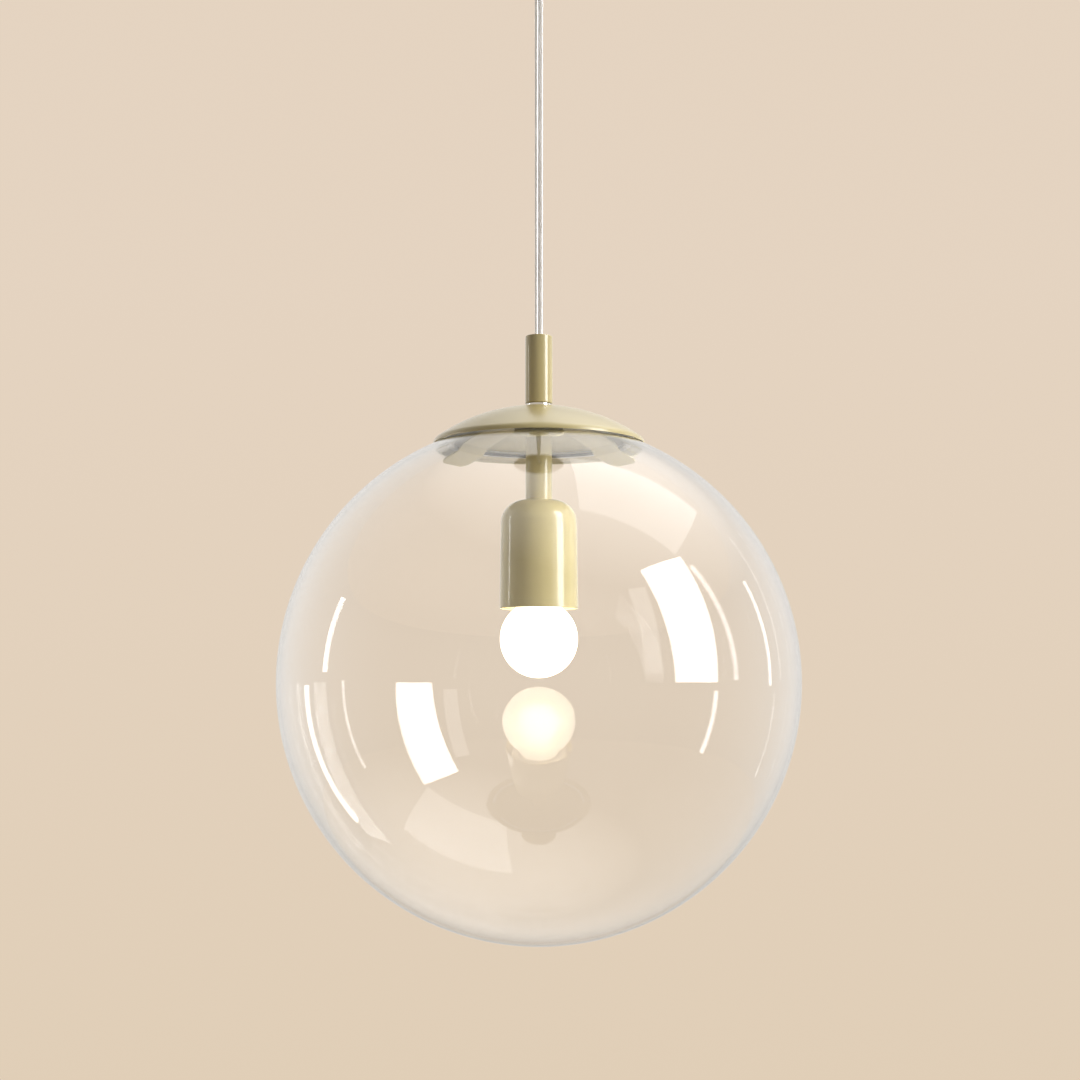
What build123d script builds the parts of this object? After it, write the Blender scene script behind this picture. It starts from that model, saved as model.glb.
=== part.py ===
from build123d import *
import os
from math import cos, radians, sin, sqrt

os.makedirs("parts", exist_ok=True)

# Pendant ceiling light: a clear glass globe held under a painted dome cap by three spring arms,
# with a lampholder and an opal bulb hanging inside it, on a thin clear cable from a ceiling rose.
# Millimetres. The origin is the centre of the bracket's ceiling face, and +Z points up,
# so the whole light hangs at negative Z.

# ---- Driving dimensions ----------------------------------------------------------------------
GLOBE_R = 150.0
GLOBE_WALL = 2.2
GLOBE_Z = -466.0  # centre of the globe
MOUTH_R = 50.0  # hole at the top of the globe

CAP_R = 61.5
CAP_DOME_R = 103.5  # radius of the dome's outer sphere
CAP_WALL = 1.2
CAP_TOP_Z = GLOBE_Z + 160.0

SLEEVE_R = 8.0
SLEEVE_LENGTH = 39.4
RING_HEIGHT = 2.0
STEM_R = 7.75

HOLDER_COVER_R = 22.8
HOLDER_COVER_TOP_R = 22.0
HOLDER_COVER_HEIGHT = 63.0
HOLDER_COVER_Z = GLOBE_Z + 42.6  # its open lower rim

BULB_R = 22.5
BULB_Z = GLOBE_Z + 25.0  # centre of the bulb's ball
BULB_LENGTH = 71.7
CAP_THREAD_R = 13.1  # outside of the bulb's E27 screw cap
SHELL_R = 13.7  # inside of the lampholder's screw shell

CABLE_R = 2.4
CORE_R = 0.8
PIVOT_Z = -37.0  # where the cable bends as the light swings

ROSE_R = 50.0
ROSE_DEPTH = 30.0
ROSE_WALL = 1.2

THREAD_R = 5.0  # M10 x 1 threaded tube
THREAD_BORE_R = 5.1
NIPPLE_BORE_R = 3.8
NIPPLE_REACH = 10.0  # how far a nipple is screwed into a tube
NUT_FLATS = 14.0
NUT_HEIGHT = 3.0

SCREW_R = 1.5  # M3 grub screws
FIT = 0.05  # radial clearance of a screw in its thread
SLIDE_FIT = 0.15  # radial clearance of the cable in the pieces that it passes through

ARM_WIDTH = 27.0
ARM_THICKNESS = 0.8
ARM_AZIMUTHS = (30.0, 150.0, 270.0)
ARM_ROOT_R = 20.6
ARM_END_R = 61.2  # how far the tips reach from the Z axis

# ---- Heights that follow from them -----------------------------------------------------------
SLEEVE_BOTTOM_Z = CAP_TOP_Z + RING_HEIGHT
SLEEVE_TOP_Z = SLEEVE_BOTTOM_Z + SLEEVE_LENGTH
DOME_CENTRE_Z = CAP_TOP_Z - CAP_DOME_R
SPACER_TOP_Z = CAP_TOP_Z - 1.65
HUB_TOP_Z = SPACER_TOP_Z - 3.0
HUB_BOTTOM_Z = HUB_TOP_Z - 1.0
COVER_TOP_Z = HOLDER_COVER_Z + HOLDER_COVER_HEIGHT
BULB_TIP_Z = BULB_Z - BULB_R + BULB_LENGTH
CLAMP_SCREW_Z = SLEEVE_TOP_Z - 19.4
CABLE_END_Z = CLAMP_SCREW_Z - 2.0


def sphere_z(centre_z, radius, distance):
    """Height of a sphere's upper surface at a distance from the Z axis."""
    return centre_z + sqrt(radius**2 - distance**2)


def save(piece, label):
    """Label a finished sub-part and write it under its node's name."""
    piece.part.label = label
    export_step(piece.part, f"parts/{label}.step")


def turned(*points):
    """A piece turned about Z from the (radius, height) corners of its half section."""
    with BuildPart() as piece:
        with BuildSketch(Plane.XZ):
            with BuildLine():
                Polyline(*points, close=True)
            make_face()
        revolve(axis=Axis.Z)
    return piece


def tube(inner, outer, low, high):
    """A plain tube, washer or ring on the Z axis."""
    return turned((inner, low), (outer, low), (outer, high), (inner, high))


def hex_nut(low):
    """A thin M10 nut with its underside at the height low."""
    with BuildPart() as nut:
        with BuildSketch(Plane.XY.offset(low)):
            RegularPolygon(radius=NUT_FLATS / 2, side_count=6, major_radius=False)
            Circle(THREAD_BORE_R, mode=Mode.SUBTRACT)
        extrude(amount=NUT_HEIGHT)
        chamfer(nut.edges().filter_by(GeomType.CIRCLE), length=0.4)
    return nut


def round_edges(piece, radius, height):
    """The circular edges of a piece that have one radius and lie at one height."""
    circles = piece.edges().filter_by(GeomType.CIRCLE)
    return circles.filter_by(
        lambda edge: abs(edge.radius - radius) < 0.01 and abs(edge.center().Z - height) < 0.01
    )


def facing(x, y, z, direction):
    """A plane through a point that faces along a direction, for radial holes and screws."""
    return Plane(origin=(x, y, z), z_dir=direction)


# ==== Ceiling rose ============================================================================

# Ceiling bracket: a steel strip with two slots for the ceiling screws and a bent-down tab at
# each end that takes the cover's side screws.
BRACKET_WIDTH = 22.0
BRACKET_SHEET = 1.5
TAB_X = 46.5
TAB_DROP = 14.0
SLOT_SPACING = 60.0
SLOT_LENGTH = 10.0
SLOT_WIDTH = 4.6
COVER_SCREW_Z = -9.0
COVER_SCREW_R = 2.0
FIXING_X = 0.0
FIXING_Y = 5.0
FIXING_R = 1.2

with BuildPart() as ceiling_bracket:
    with BuildSketch(Plane.XZ):
        with Locations((0, -TAB_DROP / 2)):
            Rectangle(2 * TAB_X, TAB_DROP)
        with Locations((0, -(TAB_DROP + BRACKET_SHEET) / 2)):
            Rectangle(2 * (TAB_X - BRACKET_SHEET), TAB_DROP - BRACKET_SHEET, mode=Mode.SUBTRACT)
    extrude(amount=BRACKET_WIDTH / 2, both=True)
    fillet(ceiling_bracket.edges().filter_by(Axis.Y).group_by(Axis.Z)[-1], radius=2.0)
    fillet(ceiling_bracket.edges().filter_by(Axis.X).group_by(Axis.Z)[0], radius=0.4)
    with BuildSketch(Plane.XY):
        with GridLocations(SLOT_SPACING, 0, 2, 1):
            SlotOverall(SLOT_LENGTH, SLOT_WIDTH)
        with GridLocations(0, 2 * FIXING_Y, 1, 2):
            Circle(FIXING_R + FIT)
    extrude(amount=-BRACKET_SHEET, mode=Mode.SUBTRACT)
    with Locations(facing(TAB_X, 0, COVER_SCREW_Z, (1, 0, 0))):
        Hole(radius=COVER_SCREW_R + FIT)
save(ceiling_bracket, "ceiling_bracket")

# Rose cover: a spun steel cup, open to the ceiling.
ROSE_EDGE_R = 4.0
rose_floor = -ROSE_DEPTH + ROSE_WALL

with BuildPart() as rose_cover:
    with BuildSketch(Plane.XZ):
        with BuildLine():
            Polyline(
                (THREAD_BORE_R, -ROSE_DEPTH),
                (ROSE_R, -ROSE_DEPTH),
                (ROSE_R, 0),
                (ROSE_R - ROSE_WALL, 0),
                (ROSE_R - ROSE_WALL, rose_floor),
                (THREAD_BORE_R, rose_floor),
                close=True,
            )
        make_face()
    revolve(axis=Axis.Z)
    fillet(round_edges(rose_cover, ROSE_R, -ROSE_DEPTH), radius=ROSE_EDGE_R)
    fillet(round_edges(rose_cover, ROSE_R - ROSE_WALL, rose_floor), radius=ROSE_EDGE_R - ROSE_WALL)
    with Locations(facing(ROSE_R, 0, COVER_SCREW_Z, (1, 0, 0))):
        Hole(radius=COVER_SCREW_R + 0.1)
save(rose_cover, "rose_cover")

# Two M4 side screws with round heads and hexagon recesses.
COVER_HEAD_R = 3.5
COVER_HEAD_HEIGHT = 2.2
COVER_SHANK = 8.0
head_x = ROSE_R + 0.1

with BuildPart() as cover_screws:
    for side in (1, -1):
        with Locations(facing(side * head_x, 0, COVER_SCREW_Z, (side, 0, 0))):
            Cylinder(COVER_HEAD_R, COVER_HEAD_HEIGHT, align=(Align.CENTER, Align.CENTER, Align.MIN))
            Cylinder(COVER_SCREW_R, COVER_SHANK, align=(Align.CENTER, Align.CENTER, Align.MAX))
    rims = cover_screws.edges().filter_by(GeomType.CIRCLE).group_by(Axis.X)
    fillet(rims[0] + rims[-1], radius=0.8)
    for side in (1, -1):
        outer_face = facing(side * (head_x + COVER_HEAD_HEIGHT), 0, COVER_SCREW_Z, (side, 0, 0))
        with BuildSketch(outer_face):
            RegularPolygon(radius=1.4, side_count=6)
        extrude(amount=-1.4, mode=Mode.SUBTRACT)
save(cover_screws, "cover_screws")

# Cord grip: a threaded gland through the rose's floor, with a flared mouth that lets the
# cable swing, and a nut inside the rose.
GRIP_R = 7.0
GRIP_MOUTH_Z = -42.0
GRIP_MOUTH_R = 5.0
GRIP_TOP_Z = -23.5
GRIP_SCREW_Z = -33.3
GRIP_TAPER = 4.0  # height of the mouth's cone
grip_bore_r = CABLE_R + 0.1

with BuildPart() as cord_grip:
    with BuildSketch(Plane.XZ):
        with BuildLine():
            Polyline(
                (grip_bore_r, GRIP_TOP_Z),
                (THREAD_R, GRIP_TOP_Z),
                (THREAD_R, -ROSE_DEPTH),
                (GRIP_R, -ROSE_DEPTH),
                (GRIP_R, GRIP_MOUTH_Z + GRIP_TAPER),
                (GRIP_MOUTH_R + 1.0, GRIP_MOUTH_Z),
                (GRIP_MOUTH_R, GRIP_MOUTH_Z),
                (grip_bore_r, PIVOT_Z + 0.8),
                close=True,
            )
        make_face()
    revolve(axis=Axis.Z)
    with Locations(facing(0, GRIP_R, GRIP_SCREW_Z, (0, 1, 0))):
        Hole(radius=SCREW_R + FIT, depth=GRIP_R - CABLE_R)
save(cord_grip, "cord_grip")

grip_nut = hex_nut(rose_floor)
save(grip_nut, "grip_nut")


def grub_screw(plane, length):
    """A slotted grub screw, from the plane inward."""
    with BuildPart() as screw:
        with Locations(plane):
            Cylinder(SCREW_R, length, align=(Align.CENTER, Align.CENTER, Align.MAX))
            Box(2 * SCREW_R, 0.5, 1.2, mode=Mode.SUBTRACT)
    return screw


grip_screw = grub_screw(facing(0, GRIP_R - 0.2, GRIP_SCREW_Z, (0, 1, 0)), GRIP_R - CABLE_R - 0.3)
save(grip_screw, "grip_screw")

# Two-pole terminal block, screwed under the bracket.
BLOCK_X = 22.0
BLOCK_Y = 17.0
BLOCK_Z = 11.5
POLE_X = 5.5
POLE_R = 2.4
POLE_BORE_R = 1.5
POLE_LENGTH = 15.0
POLE_SCREW_Y = 5.0
POLE_SCREW_R = 1.25
FIXING_HEAD_R = 2.1
FIXING_HEAD = 1.8
block_top = -BRACKET_SHEET - 0.1
block_bottom = block_top - BLOCK_Z
pole_z = block_top - BLOCK_Z / 2

with BuildPart() as terminal_block:
    with BuildSketch(Plane.XY.offset(block_bottom)):
        RectangleRounded(BLOCK_X, BLOCK_Y, 1.0)
    extrude(amount=BLOCK_Z)
    with BuildSketch(Plane.XZ):
        with GridLocations(2 * POLE_X, 0, 2, 1):
            with Locations((0, pole_z)):
                Circle(POLE_R + FIT)
    extrude(amount=BLOCK_Y, both=True, mode=Mode.SUBTRACT)
    with BuildSketch(Plane.XY.offset(block_bottom)):
        with GridLocations(2 * POLE_X, 2 * POLE_SCREW_Y, 2, 2):
            Circle(POLE_SCREW_R + 0.4)
    extrude(amount=BLOCK_Z / 2, mode=Mode.SUBTRACT)
    with Locations((FIXING_X, FIXING_Y, block_bottom), (FIXING_X, -FIXING_Y, block_bottom)):
        Cylinder(FIXING_R + FIT, 3 * BLOCK_Z, mode=Mode.SUBTRACT)
        Cylinder(FIXING_HEAD_R + FIT, 2 * FIXING_HEAD, mode=Mode.SUBTRACT)
save(terminal_block, "terminal_block")

with BuildPart() as block_tubes:
    with BuildSketch(Plane.XZ):
        with GridLocations(2 * POLE_X, 0, 2, 1):
            with Locations((0, pole_z)):
                Circle(POLE_R)
                Circle(POLE_BORE_R, mode=Mode.SUBTRACT)
    extrude(amount=POLE_LENGTH / 2, both=True)
    with BuildSketch(Plane.XY.offset(pole_z)):
        with GridLocations(2 * POLE_X, 2 * POLE_SCREW_Y, 2, 2):
            Circle(POLE_SCREW_R + FIT)
    extrude(amount=-2 * POLE_R, mode=Mode.SUBTRACT)
save(block_tubes, "block_tubes")

with BuildPart() as block_screws:
    with BuildSketch(Plane.XY.offset(block_bottom + 0.6)):
        with GridLocations(2 * POLE_X, 2 * POLE_SCREW_Y, 2, 2):
            Circle(POLE_SCREW_R)
    extrude(amount=pole_z - CORE_R - 0.2 - block_bottom - 0.6)
    with BuildSketch(Plane.XY.offset(block_bottom + 0.6)):
        with GridLocations(2 * POLE_X, 2 * POLE_SCREW_Y, 2, 2):
            Rectangle(2 * POLE_SCREW_R, 0.5)
    extrude(amount=0.6, mode=Mode.SUBTRACT)
save(block_screws, "block_screws")

with BuildPart() as block_fixings:
    with BuildSketch(Plane.XY.offset(block_bottom + 0.1)):
        with GridLocations(0, 2 * FIXING_Y, 1, 2):
            Circle(FIXING_HEAD_R)
    extrude(amount=FIXING_HEAD - 0.2)
    with BuildSketch(Plane.XY.offset(block_bottom + 0.1)):
        with GridLocations(0, 2 * FIXING_Y, 1, 2):
            Circle(FIXING_R)
    extrude(amount=BLOCK_Z + BRACKET_SHEET - 0.2)
    with BuildSketch(Plane.XY.offset(block_bottom + 0.1)):
        with GridLocations(0, 2 * FIXING_Y, 1, 2):
            Rectangle(2 * FIXING_HEAD_R, 0.6)
    extrude(amount=0.8, mode=Mode.SUBTRACT)
save(block_fixings, "block_fixings")

# The cable's end inside the rose, and its two cores led up to the terminals.
CABLE_TOP_Z = -20.0
CORE_SPREAD = 1.1
LEAD_Y = -13.5

cable_tail = turned(
    (0, PIVOT_Z + CABLE_R + 0.3),
    (CABLE_R, PIVOT_Z + CABLE_R + 0.3),
    (CABLE_R, CABLE_TOP_Z),
    (0, CABLE_TOP_Z),
)
save(cable_tail, "cable_tail")

with BuildPart() as rose_leads:
    for side in (1, -1):
        with BuildLine() as route:
            FilletPolyline(
                (side * CORE_SPREAD, 0, CABLE_TOP_Z + 0.2),
                (side * CORE_SPREAD, 0, CABLE_TOP_Z + 4.0),
                (side * POLE_X, LEAD_Y, CABLE_TOP_Z + 5.0),
                (side * POLE_X, LEAD_Y, pole_z),
                (side * POLE_X, -POLE_SCREW_Y + 2.0, pole_z),
                radius=2.0,
            )
        with BuildSketch(Plane(origin=route.line @ 0, z_dir=route.line % 0)):
            Circle(CORE_R)
        sweep()
save(rose_leads, "rose_leads")

# ==== Cable ===================================================================================

# The bend at the rose: a ball of the cable's own radius on the swing's two axes.
with BuildPart() as cable_bend:
    with Locations((0, 0, PIVOT_Z)):
        Sphere(CABLE_R)
save(cable_bend, "cable_bend")

# The free cable runs straight down, because it carries the light.
CABLE_BEVEL = 0.6  # clears the ball as the cable swings
cable_start_z = PIVOT_Z - CABLE_R - 0.3
cable = turned(
    (0, cable_start_z),
    (CABLE_R - CABLE_BEVEL, cable_start_z),
    (CABLE_R, cable_start_z - CABLE_BEVEL),
    (CABLE_R, CABLE_END_Z),
    (0, CABLE_END_Z),
)
save(cable, "cable")

# ==== Sleeve, ring and dome cap ===============================================================

SLEEVE_BORE_R = 6.5
SLEEVE_THREAD = 10.0
BUSH_HOLE_R = 4.0

with BuildPart() as sleeve_tube:
    with BuildSketch(Plane.XZ):
        with BuildLine():
            Polyline(
                (THREAD_BORE_R, SLEEVE_BOTTOM_Z),
                (SLEEVE_R, SLEEVE_BOTTOM_Z),
                (SLEEVE_R, SLEEVE_TOP_Z),
                (BUSH_HOLE_R, SLEEVE_TOP_Z),
                (BUSH_HOLE_R, SLEEVE_TOP_Z - 2.0),
                (SLEEVE_BORE_R, SLEEVE_TOP_Z - 2.0),
                (SLEEVE_BORE_R, SLEEVE_BOTTOM_Z + SLEEVE_THREAD),
                (THREAD_BORE_R, SLEEVE_BOTTOM_Z + SLEEVE_THREAD),
                close=True,
            )
        make_face()
    revolve(axis=Axis.Z)
    fillet(round_edges(sleeve_tube, SLEEVE_R, SLEEVE_TOP_Z), radius=0.5)
    fillet(round_edges(sleeve_tube, SLEEVE_R, SLEEVE_BOTTOM_Z), radius=0.3)
    with Locations(facing(0, SLEEVE_R, CLAMP_SCREW_Z, (0, 1, 0))):
        Hole(radius=SCREW_R + FIT, depth=3.0)
save(sleeve_tube, "sleeve_tube")

# Bush where the cable enters the sleeve.
bush_r = CABLE_R + SLIDE_FIT
sleeve_bush = turned(
    (bush_r, SLEEVE_TOP_Z - 4.2),
    (SLEEVE_BORE_R - 0.3, SLEEVE_TOP_Z - 4.2),
    (SLEEVE_BORE_R - 0.3, SLEEVE_TOP_Z - 2.1),
    (BUSH_HOLE_R - 0.1, SLEEVE_TOP_Z - 2.1),
    (BUSH_HOLE_R - 0.1, SLEEVE_TOP_Z + 0.3),
    (BUSH_HOLE_R - 0.6, SLEEVE_TOP_Z + 0.7),
    (bush_r, SLEEVE_TOP_Z + 0.7),
)
save(sleeve_bush, "sleeve_bush")

# Cord clamp inside the sleeve, with the grub screw that tightens it from behind.
CLAMP_R = SLEEVE_BORE_R - 0.1

with BuildPart() as cord_clamp:
    with BuildSketch(Plane.XY.offset(CLAMP_SCREW_Z - 5.0)):
        Circle(CLAMP_R)
        Circle(bush_r, mode=Mode.SUBTRACT)
    extrude(amount=11.0)
    with Locations(facing(0, CLAMP_R, CLAMP_SCREW_Z, (0, 1, 0))):
        Hole(radius=SCREW_R + FIT, depth=CLAMP_R - CABLE_R)
save(cord_clamp, "cord_clamp")

clamp_screw = grub_screw(facing(0, SLEEVE_R - 0.2, CLAMP_SCREW_Z, (0, 1, 0)), SLEEVE_R - CABLE_R - 0.4)
save(clamp_screw, "clamp_screw")

RING_R = SLEEVE_R - 0.65

with BuildPart() as chrome_ring:
    with BuildSketch(Plane.XY.offset(CAP_TOP_Z)):
        Circle(RING_R)
        Circle(THREAD_BORE_R, mode=Mode.SUBTRACT)
    extrude(amount=RING_HEIGHT)
    rims = round_edges(chrome_ring, RING_R, CAP_TOP_Z) + round_edges(chrome_ring, RING_R, SLEEVE_BOTTOM_Z)
    fillet(rims, radius=0.5)
save(chrome_ring, "chrome_ring")

# Dome cap: a shallow spun dome that turns down at its rim, whose lower edge follows the glass.
LIP_GAP = 0.7
RIM_R = 4.0  # how roundly the dome turns down
INNER_RIM_R = 1.8
lip_bottom_z = sphere_z(GLOBE_Z, GLOBE_R, CAP_R) + LIP_GAP
lip_inner_z = sphere_z(GLOBE_Z, GLOBE_R, CAP_R - CAP_WALL) + LIP_GAP
inner_dome_r = CAP_DOME_R - CAP_WALL
arc_middle_r = 0.6 * CAP_R

with BuildPart() as dome_cap:
    with BuildSketch(Plane.XZ):
        with BuildLine():
            ThreePointArc(
                (THREAD_BORE_R, sphere_z(DOME_CENTRE_Z, CAP_DOME_R, THREAD_BORE_R)),
                (arc_middle_r, sphere_z(DOME_CENTRE_Z, CAP_DOME_R, arc_middle_r)),
                (CAP_R, sphere_z(DOME_CENTRE_Z, CAP_DOME_R, CAP_R)),
            )
            Polyline(
                (CAP_R, sphere_z(DOME_CENTRE_Z, CAP_DOME_R, CAP_R)),
                (CAP_R, lip_bottom_z),
                (CAP_R - CAP_WALL, lip_inner_z),
                (CAP_R - CAP_WALL, sphere_z(DOME_CENTRE_Z, inner_dome_r, CAP_R - CAP_WALL)),
            )
            ThreePointArc(
                (CAP_R - CAP_WALL, sphere_z(DOME_CENTRE_Z, inner_dome_r, CAP_R - CAP_WALL)),
                (arc_middle_r, sphere_z(DOME_CENTRE_Z, inner_dome_r, arc_middle_r)),
                (THREAD_BORE_R, sphere_z(DOME_CENTRE_Z, inner_dome_r, THREAD_BORE_R)),
            )
            Line(
                (THREAD_BORE_R, sphere_z(DOME_CENTRE_Z, inner_dome_r, THREAD_BORE_R)),
                (THREAD_BORE_R, sphere_z(DOME_CENTRE_Z, CAP_DOME_R, THREAD_BORE_R)),
            )
        make_face()
    revolve(axis=Axis.Z)
    fillet(round_edges(dome_cap, CAP_R, sphere_z(DOME_CENTRE_Z, CAP_DOME_R, CAP_R)), radius=RIM_R)
    inner_rim_z = sphere_z(DOME_CENTRE_Z, inner_dome_r, CAP_R - CAP_WALL)
    fillet(round_edges(dome_cap, CAP_R - CAP_WALL, inner_rim_z), radius=INNER_RIM_R)
save(dome_cap, "dome_cap")

SPACER_R = 9.0

cap_spacer = tube(THREAD_BORE_R, SPACER_R, HUB_TOP_Z, SPACER_TOP_Z)
save(cap_spacer, "cap_spacer")

# Silicone ring between the dome cap and the shoulder of the glass.
GASKET_R = 1.35
GASKET_PITCH_R = 54.0

with BuildPart() as gasket_ring:
    with BuildSketch(Plane.XZ):
        with Locations((GASKET_PITCH_R, sphere_z(GLOBE_Z, GLOBE_R + GASKET_R + 0.3, GASKET_PITCH_R))):
            Circle(GASKET_R)
    revolve(axis=Axis.Z)
save(gasket_ring, "gasket_ring")

# ==== Spring arms that hold the globe =========================================================

# Hub: a disc with a flat at each arm, where the spring flexes.
HUB_R = 23.3
ARM_GAP = 0.3

with BuildPart() as spring_hub:
    with BuildSketch(Plane.XY.offset(HUB_BOTTOM_Z)):
        Circle(HUB_R)
        for azimuth in ARM_AZIMUTHS:
            with Locations(Rotation(0, 0, azimuth)):
                with Locations((ARM_ROOT_R - ARM_GAP, 0)):
                    Rectangle(10, 2 * ARM_WIDTH, align=(Align.MIN, Align.CENTER), mode=Mode.SUBTRACT)
        Circle(THREAD_BORE_R, mode=Mode.SUBTRACT)
    extrude(amount=HUB_TOP_Z - HUB_BOTTOM_Z)
save(spring_hub, "spring_hub")

# Each arm runs out and down under the dome, drops through the mouth of the globe and flares
# outward beneath the glass.
ARM_PROFILE = (
    (ARM_ROOT_R, HUB_TOP_Z - 0.5),
    (44.0, GLOBE_Z + 142.5),
    (47.6, GLOBE_Z + 137.8),
    (62.0, GLOBE_Z + 131.8),
)
ARM_TIP_R = 6.0

for number, azimuth in enumerate(ARM_AZIMUTHS, start=1):
    turn = radians(azimuth)
    outward = (cos(turn), sin(turn), 0)
    with BuildPart() as spring_arm:
        with BuildSketch(Plane(origin=(0, 0, 0), x_dir=outward, z_dir=(sin(turn), -cos(turn), 0))):
            with BuildLine():
                FilletPolyline(*ARM_PROFILE, radius=3.0)
            trace(line_width=ARM_THICKNESS)
        extrude(amount=ARM_WIDTH / 2, both=True)
        with BuildSketch(Plane(origin=(0, 0, GLOBE_Z + 120), x_dir=outward, z_dir=(0, 0, 1))) as plan:
            with Locations((ARM_ROOT_R, 0)):
                Rectangle(ARM_END_R - ARM_ROOT_R, ARM_WIDTH, align=(Align.MIN, Align.CENTER))
            fillet(plan.vertices().group_by(Axis.X)[-1], radius=ARM_TIP_R)
        extrude(amount=60, mode=Mode.INTERSECT)
    save(spring_arm, f"spring_arm_{number}")

# ==== Glass globe =============================================================================

inner_globe_r = GLOBE_R - GLOBE_WALL
outer_mouth_z = sphere_z(GLOBE_Z, GLOBE_R, MOUTH_R)
inner_mouth_z = sphere_z(GLOBE_Z, inner_globe_r, MOUTH_R)

with BuildPart() as glass_globe:
    with BuildSketch(Plane.XZ):
        with BuildLine():
            ThreePointArc((0, GLOBE_Z - GLOBE_R), (GLOBE_R, GLOBE_Z), (MOUTH_R, outer_mouth_z))
            Line((MOUTH_R, outer_mouth_z), (MOUTH_R, inner_mouth_z))
            ThreePointArc((MOUTH_R, inner_mouth_z), (inner_globe_r, GLOBE_Z), (0, GLOBE_Z - inner_globe_r))
            Line((0, GLOBE_Z - inner_globe_r), (0, GLOBE_Z - GLOBE_R))
        make_face()
    revolve(axis=Axis.Z)
save(glass_globe, "glass_globe")

# ==== Stem and lampholder =====================================================================

upper_nipple = tube(NIPPLE_BORE_R, THREAD_R, HUB_BOTTOM_Z - NIPPLE_REACH, SLEEVE_BOTTOM_Z + SLEEVE_THREAD)
save(upper_nipple, "upper_nipple")

stem_tube = tube(THREAD_BORE_R, STEM_R, COVER_TOP_Z, HUB_BOTTOM_Z)
save(stem_tube, "stem_tube")

lower_nipple = tube(NIPPLE_BORE_R, THREAD_R, COVER_TOP_Z - NIPPLE_REACH, COVER_TOP_Z + NIPPLE_REACH)
save(lower_nipple, "lower_nipple")

# Lampholder cover: a deep spun cup with a broad round shoulder, open at the bottom.
COVER_WALL = 1.0
SHOULDER_R = 13.0

with BuildPart() as holder_cover:
    with BuildSketch(Plane.XZ):
        with BuildLine():
            Polyline(
                (THREAD_BORE_R, COVER_TOP_Z),
                (HOLDER_COVER_TOP_R, COVER_TOP_Z),
                (HOLDER_COVER_R, HOLDER_COVER_Z),
                (HOLDER_COVER_R - COVER_WALL, HOLDER_COVER_Z),
                (HOLDER_COVER_TOP_R - COVER_WALL, COVER_TOP_Z - COVER_WALL),
                (THREAD_BORE_R, COVER_TOP_Z - COVER_WALL),
                close=True,
            )
        make_face()
    revolve(axis=Axis.Z)
    fillet(round_edges(holder_cover, HOLDER_COVER_TOP_R, COVER_TOP_Z), radius=SHOULDER_R)
    inner_shoulder = round_edges(holder_cover, HOLDER_COVER_TOP_R - COVER_WALL, COVER_TOP_Z - COVER_WALL)
    fillet(inner_shoulder, radius=SHOULDER_R - COVER_WALL)
save(holder_cover, "holder_cover")

cover_nut = hex_nut(COVER_TOP_Z - COVER_WALL - NUT_HEIGHT)
save(cover_nut, "cover_nut")

# E27 lampholder in three insulating pieces: top, contact insert and skirt.
HOLDER_R = 19.0
HOLDER_TOP_Z = COVER_TOP_Z - COVER_WALL - NUT_HEIGHT - 0.6
CONTACT_Z = BULB_TIP_Z + 0.4  # underside of the centre contact
INSERT_BOTTOM_Z = CONTACT_Z + 1.0
INSERT_HEIGHT = 6.0
INSERT_R = 16.8
insert_top_z = INSERT_BOTTOM_Z + INSERT_HEIGHT
skirt_bottom_z = HOLDER_COVER_Z + 5.5

holder_top = turned(
    (THREAD_BORE_R, HOLDER_TOP_Z),
    (11.0, HOLDER_TOP_Z),
    (HOLDER_R, HOLDER_TOP_Z - 9.0),
    (HOLDER_R, insert_top_z + 0.2),
    (HOLDER_R - 2.0, insert_top_z + 0.2),
    (HOLDER_R - 2.0, HOLDER_TOP_Z - 10.0),
    (THREAD_BORE_R + 5.0, HOLDER_TOP_Z - 5.0),
    (THREAD_BORE_R, HOLDER_TOP_Z - 5.0),
)
save(holder_top, "holder_top")

TERMINAL_X = 10.0
TERMINAL_WIDTH = 5.0
TERMINAL_DEPTH = 8.0
TERMINAL_HEIGHT = 6.0
RIVET_R = 1.5
terminal_screw_z = insert_top_z + TERMINAL_HEIGHT / 2

with BuildPart() as holder_insert:
    with BuildSketch(Plane.XY.offset(INSERT_BOTTOM_Z)):
        Circle(INSERT_R)
        Circle(RIVET_R + FIT, mode=Mode.SUBTRACT)
        with GridLocations(2 * TERMINAL_X, 2 * TERMINAL_X, 1, 2):
            Circle(RIVET_R, mode=Mode.SUBTRACT)
    extrude(amount=INSERT_HEIGHT)
save(holder_insert, "holder_insert")

holder_skirt = turned(
    (INSERT_R + 0.1, insert_top_z),
    (HOLDER_R, insert_top_z),
    (HOLDER_R, skirt_bottom_z),
    (SHELL_R + 0.7, skirt_bottom_z),
    (SHELL_R + 0.7, INSERT_BOTTOM_Z - 0.1),
    (INSERT_R + 0.1, INSERT_BOTTOM_Z - 0.1),
)
save(holder_skirt, "holder_skirt")

screw_shell = turned(
    (9.0, INSERT_BOTTOM_Z - 0.2),
    (SHELL_R + 0.5, INSERT_BOTTOM_Z - 0.2),
    (SHELL_R + 0.5, skirt_bottom_z + 1.5),
    (SHELL_R, skirt_bottom_z + 1.5),
    (SHELL_R, INSERT_BOTTOM_Z - 0.7),
    (9.0, INSERT_BOTTOM_Z - 0.7),
)
save(screw_shell, "screw_shell")

centre_contact = turned(
    (0, CONTACT_Z),
    (4.5, CONTACT_Z),
    (4.5, INSERT_BOTTOM_Z - 0.1),
    (RIVET_R, INSERT_BOTTOM_Z - 0.1),
    (RIVET_R, insert_top_z + 0.5),
    (0, insert_top_z + 0.5),
)
save(centre_contact, "centre_contact")

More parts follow.
